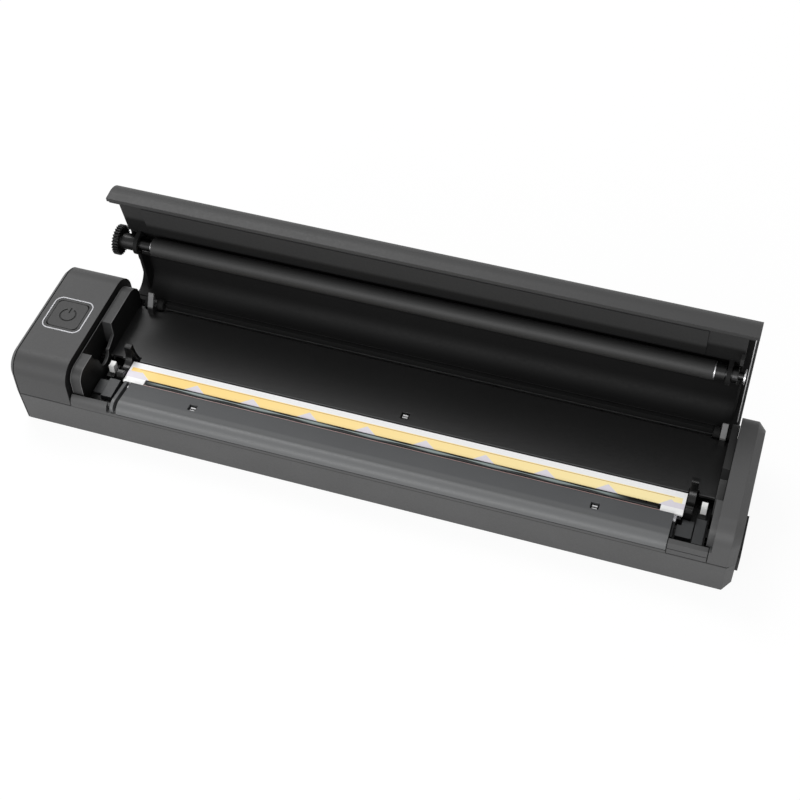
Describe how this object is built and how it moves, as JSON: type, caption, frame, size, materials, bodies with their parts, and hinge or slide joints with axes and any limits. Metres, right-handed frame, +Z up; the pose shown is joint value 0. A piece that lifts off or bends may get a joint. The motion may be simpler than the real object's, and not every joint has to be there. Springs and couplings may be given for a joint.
{
  "type": "portable thermal printer",
  "caption": "Slim portable A4 thermal printer with its hinged lid open, showing the rubber feed roller, the thermal print head, the flat paper bed and the power button pod.",
  "frame": {"origin": "middle of the anti-slip pad's underside, on the desk", "axes": "+X along the case to the release button's end, +Y to the rear where the lid is hinged, +Z up from the desk"},
  "size_m": [0.2811, 0.0701, 0.0776],
  "materials": {
    "shell_grey": "fine matte texture",
    "liner_black": "smooth, slightly satin",
    "bed_black": "smooth, slightly satin",
    "deck_grey": "fine matte texture",
    "frame_grey": "fine matte texture",
    "chassis_black": "moulded, glossy",
    "plate_grey": "fine matte texture",
    "pad_rubber": "matte",
    "roller_rubber": "ground, matte",
    "shaft_steel": "turned",
    "pin_steel": "turned",
    "plate_steel": "pressed sheet",
    "spring_steel": "drawn wire",
    "ring_silver": "bright, satin",
    "white_plastic": "moulded",
    "gear_black": "moulded",
    "gear_white": "moulded",
    "pinion_brass": "machined",
    "ceramic": "smooth",
    "carrier_aluminium": "extruded",
    "bead_resin": "glossy resin",
    "board_green": "solder mask",
    "cell_wrap": "shrink wrap",
    "switch_black": "moulded",
    "release_black": "moulded"
  },
  "bodies": {
    "base": {"lower_shell": "shell_grey", "base_pad": "pad_rubber", "case_screws": "pin_steel", "pod_cover": "shell_grey", "left_end_plate": "shell_grey", "right_cap": "shell_grey", "front_deck": "deck_grey", "front_block": "shell_grey", "paper_bed": "bed_black", "side_frame_left": "frame_grey", "side_frame_right": "frame_grey", "print_frame": "chassis_black", "recess_plates": "plate_grey", "bearing_bracket_left": "chassis_black", "bearing_bracket_right": "chassis_black", "saddle_left": "white_plastic", "saddle_right": "white_plastic", "hinge_bracket_left": "frame_grey", "hinge_bracket_right": "frame_grey", "hinge_pins": "pin_steel", "button_ring": "ring_silver", "button_switch": "switch_black", "switch_board": "board_green", "main_board": "board_green", "usb_port": "plate_steel", "battery_pack": "cell_wrap", "stepper_motor": "plate_steel", "motor_plate": "plate_steel", "gear_pins": "pin_steel", "sensor_windows": "bead_resin", "head_springs": "spring_steel", "latch_spring": "spring_steel"},
    "lid": {"lid_shell": "shell_grey", "lid_liner": "liner_black", "platen_bushes": "white_plastic"},
    "roller": {"platen_shaft": "shaft_steel", "platen_rubber": "roller_rubber", "platen_gear": "gear_black", "platen_collar": "gear_black", "platen_clip": "spring_steel"},
    "idler": {"idler_gear": "gear_white"},
    "reduction": {"reduction_gear": "gear_white"},
    "pinion": {"motor_pinion": "pinion_brass"},
    "head": {"head_ceramic": "ceramic", "head_carrier": "carrier_aluminium", "head_bead": "bead_resin", "head_board": "board_green"},
    "button": {"power_button": "shell_grey"},
    "release": {"release_button": "release_black", "latch_slider": "switch_black"}
  },
  "joints": [
    {"name": "lid_hinge", "type": "hinge", "parent": "base", "child": "lid", "pos_m": [0, 0.0295, 0.0206], "axis": [1, 0, 0], "range_deg": [0, 84]},
    {"name": "roller_spin", "type": "hinge", "parent": "lid", "child": "roller", "pos_m": [0, 0.02811, 0.05484], "axis": [1, 0, 0], "continuous": true},
    {"name": "reduction_spin", "type": "hinge", "parent": "base", "child": "reduction", "pos_m": [0, 0.00807, 0.01234], "axis": [1, 0, 0], "continuous": true},
    {"name": "idler_spin", "type": "hinge", "parent": "base", "child": "idler", "pos_m": [0, 0.0015, 0.01541], "axis": [1, 0, 0], "continuous": true},
    {"name": "pinion_spin", "type": "hinge", "parent": "base", "child": "pinion", "pos_m": [0, -0.00272, 0.01121], "axis": [1, 0, 0], "continuous": true},
    {"name": "head_tilt", "type": "hinge", "parent": "base", "child": "head", "pos_m": [0, -0.0126, 0.0164], "axis": [-1, 0, 0], "range_deg": [0, 1.5], "stiffness_Nm_per_rad": 0.3, "springref_deg": -2.86, "deforming": ["head_springs"]},
    {"name": "button_press", "type": "slide", "parent": "base", "child": "button", "axis": [0, 0, -1], "range_m": [0, 0.0005], "stiffness_N_per_m": 800, "springref_m": -0.0005},
    {"name": "release_press", "type": "slide", "parent": "base", "child": "release", "axis": [-1, 0, 0], "range_m": [0, 0.0015], "stiffness_N_per_m": 600, "springref_m": -0.001, "deforming": ["latch_spring"]}
  ],
  "couplings": [
    {"joint": "idler_spin", "follows": "reduction_spin", "ratio": -0.8},
    {"joint": "pinion_spin", "follows": "reduction_spin", "ratio": -3.5}
  ]
}
